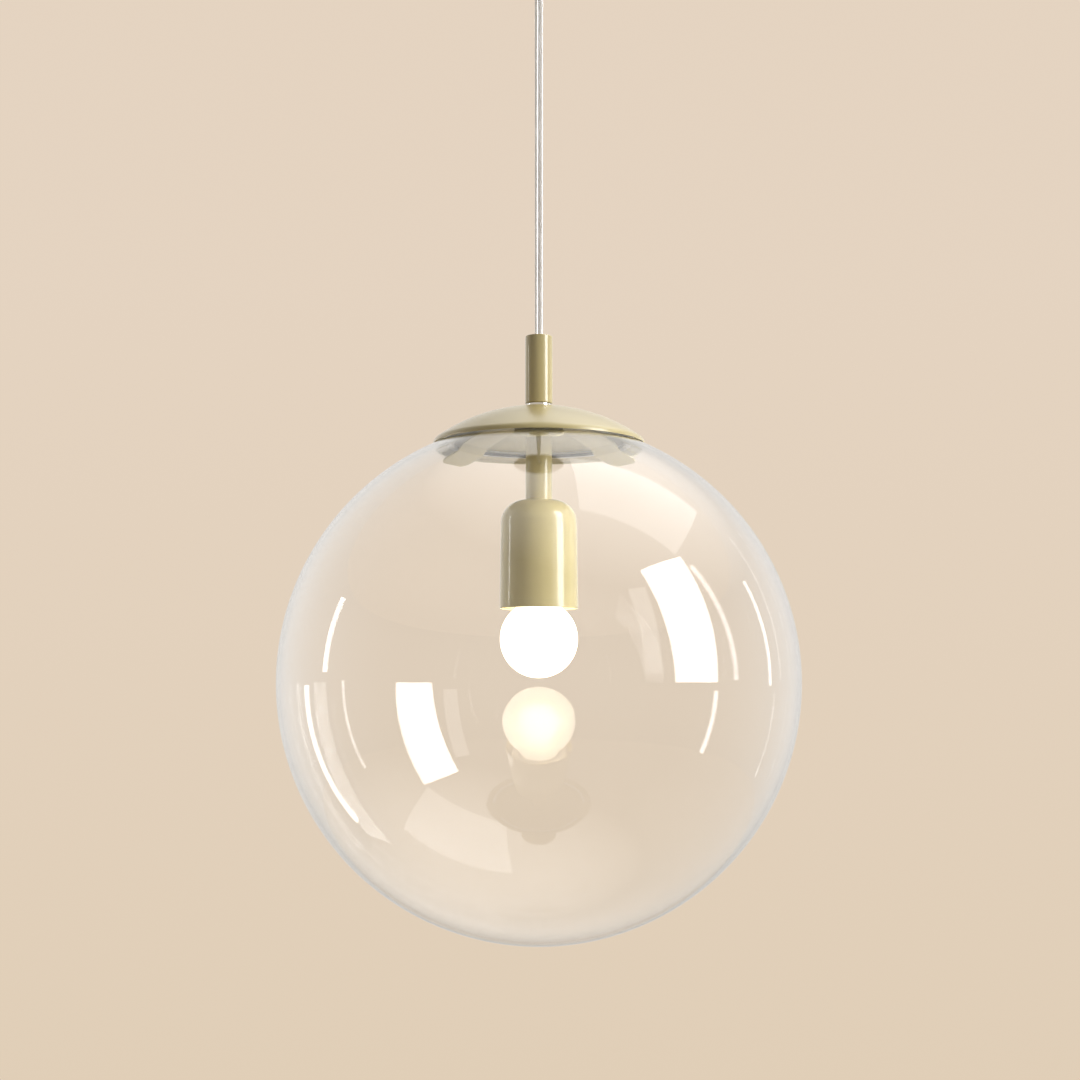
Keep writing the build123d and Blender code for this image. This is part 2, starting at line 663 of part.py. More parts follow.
with BuildPart() as holder_terminals:
    with BuildSketch(Plane.XY.offset(insert_top_z + 0.1)):
        with GridLocations(2 * TERMINAL_X, 0, 2, 1):
            Rectangle(TERMINAL_WIDTH, TERMINAL_DEPTH)
            Circle(CORE_R + 0.2, mode=Mode.SUBTRACT)
    extrude(amount=TERMINAL_HEIGHT)
    terminal_face_x = TERMINAL_X + TERMINAL_WIDTH / 2
    for side in (1, -1):
        with Locations(facing(side * terminal_face_x, 0, terminal_screw_z, (side, 0, 0))):
            Hole(radius=POLE_SCREW_R + FIT, depth=TERMINAL_WIDTH / 2)
save(holder_terminals, "holder_terminals")

with BuildPart() as terminal_screws:
    for side in (1, -1):
        with Locations(facing(side * (TERMINAL_X + CORE_R + 0.2), 0, terminal_screw_z, (side, 0, 0))):
            Cylinder(POLE_SCREW_R, 4.0, align=(Align.CENTER, Align.CENTER, Align.MIN))
            with Locations((0, 0, 4.0)):
                Box(0.5, 2 * POLE_SCREW_R, 1.0, mode=Mode.SUBTRACT)
save(terminal_screws, "terminal_screws")

# Two cores from the clamp through the nipples and the stem to the terminals.
LEAD_BEND_Z = HOLDER_TOP_Z - 8.0

with BuildPart() as lamp_leads:
    for side in (1, -1):
        with BuildLine() as route:
            FilletPolyline(
                (side * CORE_SPREAD, 0, CABLE_END_Z - 0.3),
                (side * CORE_SPREAD, 0, LEAD_BEND_Z),
                (side * TERMINAL_X, 0, LEAD_BEND_Z - 2.0),
                (side * TERMINAL_X, 0, insert_top_z + 0.6),
                radius=2.0,
            )
        with BuildSketch(Plane(origin=route.line @ 0, z_dir=route.line % 0)):
            Circle(CORE_R)
        sweep()
save(lamp_leads, "lamp_leads")

# ==== Bulb ====================================================================================

# Opal glass ball with a short neck.
BULB_WALL = 0.8
NECK_R = 13.4
NECK_TOP_Z = BULB_Z + 22.0
inner_bulb_r = BULB_R - BULB_WALL
inner_neck_r = NECK_R - BULB_WALL

with BuildPart() as bulb_globe:
    with BuildSketch(Plane.XZ):
        with BuildLine():
            ThreePointArc(
                (0, BULB_Z - BULB_R), (BULB_R, BULB_Z), (NECK_R, sphere_z(BULB_Z, BULB_R, NECK_R))
            )
            Polyline(
                (NECK_R, sphere_z(BULB_Z, BULB_R, NECK_R)),
                (NECK_R, NECK_TOP_Z),
                (inner_neck_r, NECK_TOP_Z),
                (inner_neck_r, sphere_z(BULB_Z, inner_bulb_r, inner_neck_r)),
            )
            ThreePointArc(
                (inner_neck_r, sphere_z(BULB_Z, inner_bulb_r, inner_neck_r)),
                (inner_bulb_r, BULB_Z),
                (0, BULB_Z - inner_bulb_r),
            )
            Line((0, BULB_Z - inner_bulb_r), (0, BULB_Z - BULB_R))
        make_face()
    revolve(axis=Axis.Z)
save(bulb_globe, "bulb_globe")

# Plastic collar that joins the ball to the screw cap and carries the LED board.
COLLAR_TOP_Z = NECK_TOP_Z + 2.6
BOARD_Z = NECK_TOP_Z - 5.0

bulb_collar = turned(
    (0, BOARD_Z),
    (inner_neck_r - 0.2, BOARD_Z),
    (inner_neck_r - 0.2, NECK_TOP_Z + 0.1),
    (NECK_R, NECK_TOP_Z + 0.1),
    (NECK_R, COLLAR_TOP_Z),
    (0, COLLAR_TOP_Z),
)
save(bulb_collar, "bulb_collar")

led_board = tube(1.5, 10.0, BOARD_Z - 1.3, BOARD_Z - 0.1)
save(led_board, "led_board")

# Screw cap, its insulating end and the centre contact.
CAP_SHELL = 0.4
cap_shoulder_z = BULB_TIP_Z - 5.2

bulb_screw_cap = turned(
    (CAP_THREAD_R - CAP_SHELL, COLLAR_TOP_Z + 0.1),
    (CAP_THREAD_R, COLLAR_TOP_Z + 0.1),
    (CAP_THREAD_R, cap_shoulder_z),
    (8.0, BULB_TIP_Z - 2.6),
    (8.0, BULB_TIP_Z - 2.6 - CAP_SHELL),
    (CAP_THREAD_R - CAP_SHELL, cap_shoulder_z - CAP_SHELL),
)
save(bulb_screw_cap, "bulb_screw_cap")

bulb_insulator = turned(
    (0, BULB_TIP_Z - 2.4),
    (7.8, BULB_TIP_Z - 2.4),
    (4.6, BULB_TIP_Z - 0.8),
    (0, BULB_TIP_Z - 0.8),
)
save(bulb_insulator, "bulb_insulator")

bulb_tip_contact = turned(
    (0, BULB_TIP_Z - 0.7),
    (4.2, BULB_TIP_Z - 0.7),
    (3.2, BULB_TIP_Z),
    (0, BULB_TIP_Z),
)
save(bulb_tip_contact, "bulb_tip_contact")
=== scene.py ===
from math import acos, cos, degrees, pi, radians, sin, sqrt, tan

import bmesh
import bpy
from mathutils import Matrix, Vector


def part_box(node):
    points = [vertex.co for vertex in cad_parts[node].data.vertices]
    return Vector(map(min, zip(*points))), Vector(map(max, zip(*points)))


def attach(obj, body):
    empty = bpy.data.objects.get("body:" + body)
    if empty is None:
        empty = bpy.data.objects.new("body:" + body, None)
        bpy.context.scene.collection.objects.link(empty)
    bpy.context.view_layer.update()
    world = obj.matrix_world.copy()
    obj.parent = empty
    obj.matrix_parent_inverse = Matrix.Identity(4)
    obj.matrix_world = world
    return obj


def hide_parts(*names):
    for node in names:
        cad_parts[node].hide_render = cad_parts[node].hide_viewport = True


# Pendant ceiling light with a clear glass globe. Metres, +Z up. The origin is the centre of the
# ceiling bracket's face, so the whole light hangs at negative Z.

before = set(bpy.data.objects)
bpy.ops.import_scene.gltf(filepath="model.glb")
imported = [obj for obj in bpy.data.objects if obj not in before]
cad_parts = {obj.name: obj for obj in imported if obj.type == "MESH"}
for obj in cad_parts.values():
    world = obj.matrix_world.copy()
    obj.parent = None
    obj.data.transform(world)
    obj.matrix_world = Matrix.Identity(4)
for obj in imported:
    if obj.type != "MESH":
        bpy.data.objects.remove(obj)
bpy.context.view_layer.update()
scene = bpy.context.scene
scene.view_settings.view_transform = "Standard"

MM = 0.001


def low(node):
    """Lowest height of a CAD node."""
    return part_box(node)[0].z


def high(node):
    """Highest height of a CAD node."""
    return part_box(node)[1].z


def width_radius(node):
    """Half a CAD node's width along X, which is the outer radius of a piece turned about Z."""
    lowest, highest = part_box(node)
    return (highest.x - lowest.x) / 2


# ---- Sizes read from the frame ------------------------------------------------------------------
GLOBE_R = width_radius("glass_globe")
GLOBE_Z = low("glass_globe") + GLOBE_R
MOUTH_R = sqrt(GLOBE_R**2 - (high("glass_globe") - GLOBE_Z) ** 2)
GLASS = 2.2 * MM
SHEET = 1.2 * MM
BORE_R = 5.1 * MM  # clearance round the M10 threaded tubes

# ---- Camera -------------------------------------------------------------------------------------
CAMERA_DISTANCE = 0.8686
LENS = 50.0
SENSOR = 36.0
VIEW_RISE = 0.1318  # how far the globe's centre sits below the view's centre, in view widths
SHIFT = 0.09  # the share of that rise that is lens shift; the rest is tilt
SIDE_SHIFT = 0.001


def make_camera():
    """A 50 mm camera level with the globe's centre, tilted up a little, with a small lens shift."""
    data = bpy.data.cameras.new("camera")
    data.lens = LENS
    data.sensor_width = SENSOR
    data.shift_y = SHIFT
    data.shift_x = SIDE_SHIFT
    data.clip_end = 50.0
    camera = bpy.data.objects.new("camera", data)
    scene.collection.objects.link(camera)
    tilt = (VIEW_RISE - SHIFT) * SENSOR / LENS
    camera.location = (0, -CAMERA_DISTANCE, GLOBE_Z)
    camera.rotation_euler = (pi / 2 + tilt, 0, 0)
    scene.camera = camera


make_camera()


# ---- Materials ----------------------------------------------------------------------------------
finishes = {}  # the record's material slots, each with its Blender material


def noise(tree, scale, detail=4.0, stretch=(1, 1, 1)):
    """Noise in the piece's own coordinates, which are metres, and its factor output."""
    place = tree.nodes.new("ShaderNodeTexCoord")
    mapping = tree.nodes.new("ShaderNodeMapping")
    mapping.inputs["Scale"].default_value = stretch
    texture = tree.nodes.new("ShaderNodeTexNoise")
    texture.inputs["Scale"].default_value = scale
    texture.inputs["Detail"].default_value = detail
    tree.links.new(place.outputs["Object"], mapping.inputs["Vector"])
    tree.links.new(mapping.outputs["Vector"], texture.inputs["Vector"])
    return texture.outputs["Fac"]


def surface(
    name,
    colour,
    roughness,
    metallic=0.0,
    tint=0.06,
    mottle=60.0,
    grain=2500.0,
    relief=0.000004,
    stretch=(1, 1, 1),
    **sockets,
):
    """A principled surface whose colour, roughness and relief vary finely over the piece."""
    material = bpy.data.materials.new("fine_" + name)
    material.use_nodes = True
    finishes[name] = material
    tree = material.node_tree
    tree.nodes.clear()
    shader = tree.nodes.new("ShaderNodeBsdfPrincipled")
    output = tree.nodes.new("ShaderNodeOutputMaterial")
    tree.links.new(shader.outputs["BSDF"], output.inputs["Surface"])
    shader.inputs["Metallic"].default_value = metallic
    for socket, value in sockets.items():
        shader.inputs[socket.replace("_", " ")].default_value = value

    ramp = tree.nodes.new("ShaderNodeValToRGB")
    ramp.color_ramp.elements[0].position = 0.3
    ramp.color_ramp.elements[1].position = 0.7
    ramp.color_ramp.elements[0].color = (*[c * (1 - tint) for c in colour], 1)
    ramp.color_ramp.elements[1].color = (*[min(1, c * (1 + tint)) for c in colour], 1)
    tree.links.new(noise(tree, mottle, 5.0, stretch), ramp.inputs["Fac"])
    tree.links.new(ramp.outputs["Color"], shader.inputs["Base Color"])

    grains = noise(tree, grain, 3.0, stretch)
    spread = tree.nodes.new("ShaderNodeMapRange")
    spread.inputs["To Min"].default_value = roughness * 0.85
    spread.inputs["To Max"].default_value = min(1.0, roughness * 1.15 + 0.01)
    tree.links.new(grains, spread.inputs["Value"])
    tree.links.new(spread.outputs["Result"], shader.inputs["Roughness"])

    bump = tree.nodes.new("ShaderNodeBump")
    bump.inputs["Distance"].default_value = relief
    bump.inputs["Strength"].default_value = 1.0
    tree.links.new(grains, bump.inputs["Height"])
    tree.links.new(bump.outputs["Normal"], shader.inputs["Normal"])
    return material


PAINT_YELLOW = (0.66, 0.555, 0.26)


def paint(name, coat_roughness):
    """Pastel paint under a clear glossy coat."""
    surface(
        name,
        PAINT_YELLOW,
        0.32,
        tint=0.025,
        mottle=45.0,
        grain=900.0,
        relief=0.000008,
        Coat_Weight=1.0,
        Coat_Roughness=coat_roughness,
        Coat_IOR=1.6,
        Specular_IOR_Level=0.35,
    )


paint("painted_metal", 0.05)
paint("painted_dome", 0.24)
surface("painted_screws", PAINT_YELLOW, 0.35, tint=0.03, grain=1500.0)
surface(
    "zinc_steel", (0.62, 0.64, 0.66), 0.34, metallic=1.0, tint=0.10, mottle=120.0, relief=0.000006
)
surface("chrome", (0.88, 0.88, 0.87), 0.05, metallic=1.0, tint=0.01, relief=0.0000005)
surface("brass", (0.83, 0.62, 0.30), 0.26, metallic=1.0, tint=0.08, mottle=150.0)
surface("nickel", (0.74, 0.72, 0.68), 0.22, metallic=1.0, tint=0.05, mottle=150.0)
surface(
    "core_silver",
    (0.80, 0.80, 0.80),
    0.28,
    metallic=1.0,
    tint=0.06,
    grain=6000.0,
    relief=0.00003,
)
surface("holder_plastic", (0.62, 0.60, 0.55), 0.42, tint=0.03, grain=3500.0)
surface("terminal_plastic", (0.78, 0.78, 0.74), 0.45, tint=0.03)
surface("bulb_plastic", (0.84, 0.83, 0.80), 0.38, tint=0.02)
surface("porcelain", (0.80, 0.78, 0.72), 0.14, tint=0.03, Coat_Weight=0.8)
surface("circuit_board", (0.78, 0.80, 0.78), 0.40, tint=0.05, mottle=600.0)
surface("black_insulator", (0.02, 0.02, 0.022), 0.18, tint=0.2, Coat_Weight=0.4)
surface(
    "silicone", (0.95, 0.95, 0.94), 0.35, tint=0.02, Transmission_Weight=0.15, IOR=1.41
)
surface(
    "clear_nylon", (0.90, 0.90, 0.87), 0.22, tint=0.02, Transmission_Weight=0.85, IOR=1.45
)
surface(
    "clear_sheath",
    (0.96, 0.96, 0.96),
    0.08,
    tint=0.01,
    relief=0.000004,
    Transmission_Weight=0.85,
    IOR=1.5,
)
surface(
    "clear_glass",
    (1.0, 1.0, 1.0),
    0.0,
    tint=0.0,
    grain=14.0,
    relief=0.0000015,
    Transmission_Weight=1.0,
    IOR=1.5,
)


def lit_opal(name, colour, strength):
    """Opal glass that lets the glow inside it through, softened, and glows a little itself."""
    material = surface(name, (0.95, 0.93, 0.88), 0.45, tint=0.02, Transmission_Weight=0.8, IOR=1.3)
    tree = material.node_tree
    shader = next(node for node in tree.nodes if node.type == "BSDF_PRINCIPLED")
    shader.inputs["Emission Color"].default_value = (*colour, 1)
    shader.inputs["Emission Strength"].default_value = strength
    return material


lit_opal("opal_glass", (1.0, 0.92, 0.78), 1.25)
surface(
    "led_glow",
    (0.9, 0.85, 0.7),
    0.5,
    tint=0.02,
    Emission_Color=(1.0, 0.80, 0.52, 1.0),
    Emission_Strength=16.0,
)


# ---- Mesh helpers -------------------------------------------------------------------------------
def dress(piece, body, slot, finish=None):
    """Give a finished piece its body and the material of its slot, or another material."""
    piece.data.materials.clear()
    piece.data.materials.append(finishes[finish or slot])
    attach(piece, body)
    return piece


def new_piece(name, mesh):
    """An object for a finished mesh or curve."""
    piece = bpy.data.objects.new(name, mesh)
    scene.collection.objects.link(piece)
    return piece


def smooth(mesh, angle=32.0):
    """Smooth shading with sharp edges where faces meet at more than an angle."""
    mesh.shade_smooth()
    mesh.set_sharp_from_angle(angle=radians(angle))


def arc(centre_z, radius, start, end, steps):
    """(radius, height) points on a sphere's section; angles are degrees above its equator."""
    turns = [radians(start + (end - start) * step / steps) for step in range(steps + 1)]
    return [(radius * cos(turn), centre_z + radius * sin(turn)) for turn in turns]


def rounded(corners, steps=5):
    """An outline of (radius, height, rounding) corners with each corner turned into an arc."""
    points = []
    count = len(corners)
    for index, (radius, height, rounding) in enumerate(corners):
        corner = Vector((radius, height))
        before = Vector(corners[index - 1][:2]) - corner
        after = Vector(corners[(index + 1) % count][:2]) - corner
        opening = before.angle(after)
        if rounding == 0 or opening > radians(179):
            points.append((radius, height))
            continue
        reach = rounding / tan(opening / 2)
        centre = corner + (before.normalized() + after.normalized()).normalized() * (
            rounding / sin(opening / 2)
        )
        first = corner + before.normalized() * reach - centre
        last = corner + after.normalized() * reach - centre
        for step in range(steps + 1):
            points.append(tuple(centre + first.slerp(last, step / steps).normalized() * rounding))
    return points


def turned(name, outline, segments=160, thread=None):
    """A piece turned about the Z axis from a closed (radius, height) outline.

    thread gives a radius offset for each (radius, angle, height), for screw threads."""
    work = bmesh.new()
    rings = []
    for radius, height in outline:
        if radius < 1e-7:
            rings.append([work.verts.new((0, 0, height))])
            continue
        ring = []
        for segment in range(segments):
            angle = 2 * pi * segment / segments
            reach = radius + (thread(radius, angle, height) if thread else 0)
            ring.append(work.verts.new((reach * cos(angle), reach * sin(angle), height)))
        rings.append(ring)
    for ring, other in zip(rings, rings[1:] + rings[:1]):
        for segment in range(segments):
            after = (segment + 1) % segments
            if len(ring) == 1 and len(other) == 1:
                break
            if len(ring) == 1:
                work.faces.new((ring[0], other[after], other[segment]))
            elif len(other) == 1:
                work.faces.new((ring[segment], ring[after], other[0]))
            else:
                work.faces.new((ring[segment], ring[after], other[after], other[segment]))
    bmesh.ops.recalc_face_normals(work, faces=work.faces)
    mesh = bpy.data.meshes.new(name)
    work.to_mesh(mesh)
    work.free()
    smooth(mesh)
    return new_piece(name, mesh)


def drilled(piece, radius, height, reach):
    """Cut a radial hole from the back (+Y) into a turned piece, as for a grub screw."""
    work = bmesh.new()
    turn = Matrix.Translation((0, reach, height)) @ Matrix.Rotation(pi / 2, 4, "X")
    bmesh.ops.create_cone(
        work,
        cap_ends=True,
        segments=48,
        radius1=radius,
        radius2=radius,
        depth=2 * reach - 0.002,
        matrix=turn,
    )
    mesh = bpy.data.meshes.new("drill")
    work.to_mesh(mesh)
    work.free()
    drill = new_piece("drill", mesh)
    cut = piece.modifiers.new("hole", "BOOLEAN")
    cut.object = drill
    cut.operation = "DIFFERENCE"
    cut.solver = "EXACT"
    bpy.context.view_layer.update()
    seen = piece.evaluated_get(bpy.context.evaluated_depsgraph_get())
    result = bpy.data.meshes.new_from_object(seen)
    piece.modifiers.clear()
    piece.data = result
    smooth(result)
    bpy.data.objects.remove(drill)
    return piece


# ---- Cable --------------------------------------------------------------------------------------
CABLE_D = 4.8 * MM
CORE_R = 1.0 * MM
CORE_OFFSET = 1.05 * MM
CORE_TWIST = 2400.0 * MM  # length of one turn of the two cores round each other
CORE_PHASE = -0.4
CABLE_ROUTE = (
    (0, 0, -0.0397),
    (0, 0, -0.0690),
    (0, 0, -0.2360),
    (0, 0, -0.2860),
)


def nurbs_curve(name, points, radius):
    """An open NURBS curve with a round section."""
    curve = bpy.data.curves.new(name, "CURVE")
    curve.dimensions = "3D"
    spline = curve.splines.new("NURBS")
    spline.points.add(len(points) - 1)
    for point, place in zip(spline.points, points):
        point.co = (*place, 1)
    spline.order_u = 3
    spline.use_endpoint_u = True
    curve.bevel_depth = radius
    curve.bevel_resolution = 8
    curve.resolution_u = 24
    curve.use_fill_caps = True
    return new_piece(name, curve)


def route_points(points):
    """Points along the route's NURBS spline."""
    route = nurbs_curve("route", points, 0)
    bpy.context.view_layer.update()
    evaluated = route.evaluated_get(bpy.context.evaluated_depsgraph_get())
    mesh = bpy.data.meshes.new_from_object(evaluated)
    places = [vertex.co.copy() for vertex in mesh.vertices]
    bpy.data.objects.remove(route)
    bpy.data.meshes.remove(mesh)
    return places


def core(name, phase):
    """One of the two stranded cores, twisted slowly round the cable's middle line."""
    places = route_points(CABLE_ROUTE)
    strand_points = []
    run = 0.0
    for place, after in zip(places, places[1:]):
        along = (after - place).normalized()
        across = Vector((1, 0, 0))
        across = (across - along * across.dot(along)).normalized()
        aside = along.cross(across)
        angle = phase + 2 * pi * run / CORE_TWIST
        strand_points.append(place + (across * cos(angle) + aside * sin(angle)) * CORE_OFFSET)
        run += (after - place).length
    return nurbs_curve(name, strand_points[1:-1], CORE_R)


cable = nurbs_curve("cable_sheath", CABLE_ROUTE, CABLE_D / 2)
dress(cable, "hanging_cable", "clear_sheath")
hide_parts("cable", "cable_bend")
cores = [core("cable_core_1", CORE_PHASE), core("cable_core_2", pi + CORE_PHASE)]
for strand in cores:
    dress(strand, "hanging_cable", "core_silver")

# ---- Sleeve, bush, ring and dome cap ------------------------------------------------------------
SLEEVE_R = width_radius("sleeve_tube")
SLEEVE_LOW = low("sleeve_tube")
SLEEVE_TOP = high("sleeve_tube")
SLEEVE_MOUTH_R = 4.0 * MM
SLEEVE_MOUTH_DEPTH = 2.0 * MM
SLEEVE_INNER_R = 6.5 * MM
SLEEVE_FLOOR = 10.0 * MM
GRUB_HOLE_R = 1.55 * MM
CLAMP_SCREW_Z = (low("clamp_screw") + high("clamp_screw")) / 2

sleeve = turned(
    "sleeve",
    rounded(
        [
            (BORE_R, SLEEVE_LOW, 0),
            (SLEEVE_R, SLEEVE_LOW, 0.35 * MM),
            (SLEEVE_R, SLEEVE_TOP, 0.6 * MM),
            (SLEEVE_MOUTH_R, SLEEVE_TOP, 0.2 * MM),
            (SLEEVE_MOUTH_R, SLEEVE_TOP - SLEEVE_MOUTH_DEPTH, 0),
            (SLEEVE_INNER_R, SLEEVE_TOP - SLEEVE_MOUTH_DEPTH, 0),
            (SLEEVE_INNER_R, SLEEVE_LOW + SLEEVE_FLOOR, 0),
            (BORE_R, SLEEVE_LOW + SLEEVE_FLOOR, 0),
        ]
    ),
    segments=128,
)
drilled(sleeve, GRUB_HOLE_R, CLAMP_SCREW_Z, SLEEVE_R)
dress(sleeve, "lamp", "painted_metal")
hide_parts("sleeve_tube")

BUSH_TOP = high("sleeve_bush")
BUSH_LOW = BUSH_TOP - 4.9 * MM
BUSH_STEP_Z = BUSH_TOP - 2.8 * MM
BUSH_BORE_R = 2.55 * MM
BUSH_FLANGE_R = 6.2 * MM
BUSH_NECK_R = 3.85 * MM
bush = turned(
    "sleeve_bush_ring",
    rounded(
        [
            (BUSH_BORE_R, BUSH_LOW, 0),
            (BUSH_FLANGE_R, BUSH_LOW, 0),
            (BUSH_FLANGE_R, BUSH_STEP_Z, 0),
            (BUSH_NECK_R, BUSH_STEP_Z, 0),
            (BUSH_NECK_R, BUSH_TOP, 0.5 * MM),
            (BUSH_BORE_R, BUSH_TOP, 0.35 * MM),
        ]
    ),
    segments=96,
)
dress(bush, "lamp", "clear_nylon")
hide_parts("sleeve_bush")

RING_R = width_radius("chrome_ring")
ring = turned(
    "polished_ring",
    rounded(
        [
            (BORE_R, low("chrome_ring"), 0),
            (RING_R, low("chrome_ring"), 0.55 * MM),
            (RING_R, high("chrome_ring"), 0.55 * MM),
            (BORE_R, high("chrome_ring"), 0),
        ]
    ),
    segments=128,
)
dress(ring, "lamp", "chrome")
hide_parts("chrome_ring")

CAP_R = width_radius("dome_cap")
CAP_DOME_R = 103.5 * MM
CAP_LOW = low("dome_cap")
CAP_CENTRE_Z = high("dome_cap") - sqrt(CAP_DOME_R**2 - BORE_R**2)
RIM_ROUND = 4.0 * MM
INNER_RIM_ROUND = 1.8 * MM
RIM_SPAN = 1.3  # degrees of the dome's arc that the rounding at its rim takes
INNER_RIM_SPAN = 0.7


def cap_outline():
    """Section of the dome: a shallow dome that turns down at its rim."""
    inner_r = CAP_DOME_R - SHEET
    rim_r = CAP_R - SHEET
    edge = degrees(acos(CAP_R / CAP_DOME_R)) + RIM_SPAN
    inner_edge = degrees(acos(rim_r / inner_r)) + INNER_RIM_SPAN
    slope = sqrt(GLOBE_R**2 - rim_r**2) - sqrt(GLOBE_R**2 - CAP_R**2)
    outer = arc(CAP_CENTRE_Z, CAP_DOME_R, degrees(acos(BORE_R / CAP_DOME_R)), edge, 64)
    inner = arc(CAP_CENTRE_Z, inner_r, inner_edge, degrees(acos(BORE_R / inner_r)), 48)
    rim = rounded(
        [
            (*outer[-1], 0),
            (CAP_R, CAP_CENTRE_Z + sqrt(CAP_DOME_R**2 - CAP_R**2), RIM_ROUND),
            (CAP_R, CAP_LOW, 0.18 * MM),
            (rim_r, CAP_LOW + slope, 0.15 * MM),
            (rim_r, CAP_CENTRE_Z + sqrt(inner_r**2 - rim_r**2), INNER_RIM_ROUND),
            (*inner[0], 0),
        ],
        steps=10,
    )
    return outer[:-1] + rim + inner[1:]


cap = turned("dome_shell", cap_outline(), segments=256)
dress(cap, "lamp", "painted_metal", finish="painted_dome")
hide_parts("dome_cap")

GASKET_R = (high("gasket_ring") - low("gasket_ring")) / 2
GASKET_PITCH_R = width_radius("gasket_ring") - GASKET_R
GASKET_Z = low("gasket_ring") + GASKET_R
gasket = turned(
    "glass_seal",
    [
        (GASKET_PITCH_R + GASKET_R * cos(turn), GASKET_Z + GASKET_R * sin(turn))
        for turn in [2 * pi * step / 20 for step in range(20)]
    ],
    segments=192,
)
dress(gasket, "lamp", "silicone")
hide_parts("gasket_ring")

# ---- Spring arms --------------------------------------------------------------------------------
ARM_AZIMUTHS = (30.0, 150.0, 270.0)
ARM_WIDTH = 27.0 * MM
ARM_THICKNESS = 0.8 * MM
ARM_TIP_R = 6.0 * MM
ARM_BEND_R = 3.0 * MM
ARM_TOP_Z = high("spring_arm_1") - ARM_THICKNESS / 2
ARM_CORNERS = (
    (20.85 * MM, ARM_TOP_Z - 0.13 * MM),
    (44.0 * MM, GLOBE_Z + 142.5 * MM),
    (47.6 * MM, GLOBE_Z + 137.8 * MM),
    (61.2 * MM, GLOBE_Z + 132.15 * MM),
)
ARM_BEND_STEPS = 6
ARM_TIP_STEPS = 24
ARM_COLUMNS = 16
ARM_EDGE = 0.2 * MM


def arm_path():
    """Middle line of an arm as (radius, height): out and down, through the mouth, then flared."""
    line = [Vector(ARM_CORNERS[0])]
    for before, corner, after in zip(ARM_CORNERS, ARM_CORNERS[1:], ARM_CORNERS[2:]):
        corner, before, after = Vector(corner), Vector(before), Vector(after)
        opening = (before - corner).angle(after - corner)
        reach = ARM_BEND_R / tan(opening / 2)
        start = corner + (before - corner).normalized() * reach
        end = corner + (after - corner).normalized() * reach
        for step in range(ARM_BEND_STEPS + 1):
            share = step / ARM_BEND_STEPS
            line.append(start.lerp(corner, share).lerp(corner.lerp(end, share), share))
    start, tail = line[-1], Vector(ARM_CORNERS[-1])
    for step in range(1, ARM_TIP_STEPS + 1):
        line.append(start.lerp(tail, 1 - (1 - step / ARM_TIP_STEPS) ** 2))
    return line


def arm_half_width(distance_from_tip):
    """Half the arm's width, which rounds off towards its tip."""
    if distance_from_tip >= ARM_TIP_R:
        return ARM_WIDTH / 2
    inset = ARM_TIP_R - distance_from_tip
    return ARM_WIDTH / 2 - ARM_TIP_R + sqrt(max(0, ARM_TIP_R**2 - inset**2))


def make_arm(name, azimuth):
    """A bent strip of spring steel with a rounded tip and softened edges."""
    line = arm_path()
    outward = Vector((cos(radians(azimuth)), sin(radians(azimuth)), 0))
    across = Vector((-outward.y, outward.x, 0))
    lengths = [0.0]
    for first, second in zip(line, line[1:]):
        lengths.append(lengths[-1] + (second - first).length)
    work = bmesh.new()
    rows = []
    for point, run in zip(line, lengths):
        half = arm_half_width(lengths[-1] - run)
        middle = outward * point.x + Vector((0, 0, point.y))
        row = []
        for column in range(ARM_COLUMNS + 1):
            side = 2 * column / ARM_COLUMNS - 1
            row.append(work.verts.new(middle + across * half * side))
        rows.append(row)
    for row, other in zip(rows, rows[1:]):
        for column in range(ARM_COLUMNS):
            work.faces.new((row[column], row[column + 1], other[column + 1], other[column]))
    bmesh.ops.recalc_face_normals(work, faces=work.faces)
    mesh = bpy.data.meshes.new(name)
    work.to_mesh(mesh)
    work.free()
    piece = new_piece(name, mesh)
    thick = piece.modifiers.new("thickness", "SOLIDIFY")
    thick.thickness = ARM_THICKNESS
    thick.offset = 0
    edge = piece.modifiers.new("edge", "BEVEL")
    edge.width = ARM_EDGE
    edge.segments = 2
    edge.limit_method = "ANGLE"
    edge.angle_limit = radians(60)
    smooth(mesh, 60)
    return piece


for number, azimuth in enumerate(ARM_AZIMUTHS, start=1):
    arm = make_arm(f"spring_leaf_{number}", azimuth)
    dress(arm, f"arm_{number}", "painted_metal")
    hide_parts(f"spring_arm_{number}")

# ---- Glass globe --------------------------------------------------------------------------------
GLOBE_INNER_R = GLOBE_R - GLASS
MOUTH_ANGLE = degrees(acos(MOUTH_R / GLOBE_R))
INNER_MOUTH_ANGLE = degrees(acos(MOUTH_R / GLOBE_INNER_R))
RIM_ANGLE = 0.35  # degrees of each sphere that the rounded rim takes
RIM_EDGE = 0.5 * MM
RIM_STEPS = 8


def globe_outline():
    """Section of the globe: two spheres joined by a ground and fire-polished rim."""
    outer = arc(GLOBE_Z, GLOBE_R, -90, MOUTH_ANGLE - RIM_ANGLE, 180)
    inner = arc(GLOBE_Z, GLOBE_INNER_R, INNER_MOUTH_ANGLE - RIM_ANGLE, -90, 180)
    rim_start, rim_end = Vector(outer[-1]), Vector(inner[0])
    edge_top = Vector((MOUTH_R, GLOBE_Z + sqrt(GLOBE_R**2 - MOUTH_R**2)))
    edge_low = Vector((MOUTH_R, GLOBE_Z + sqrt(GLOBE_INNER_R**2 - MOUTH_R**2)))
    rim = rounded(
        [
            (rim_start.x, rim_start.y, 0),
            (edge_top.x, edge_top.y, RIM_EDGE),
            (edge_low.x, edge_low.y, RIM_EDGE),
            (rim_end.x, rim_end.y, 0),
        ],
        steps=RIM_STEPS,
    )
    return outer[:-1] + rim + inner[1:]


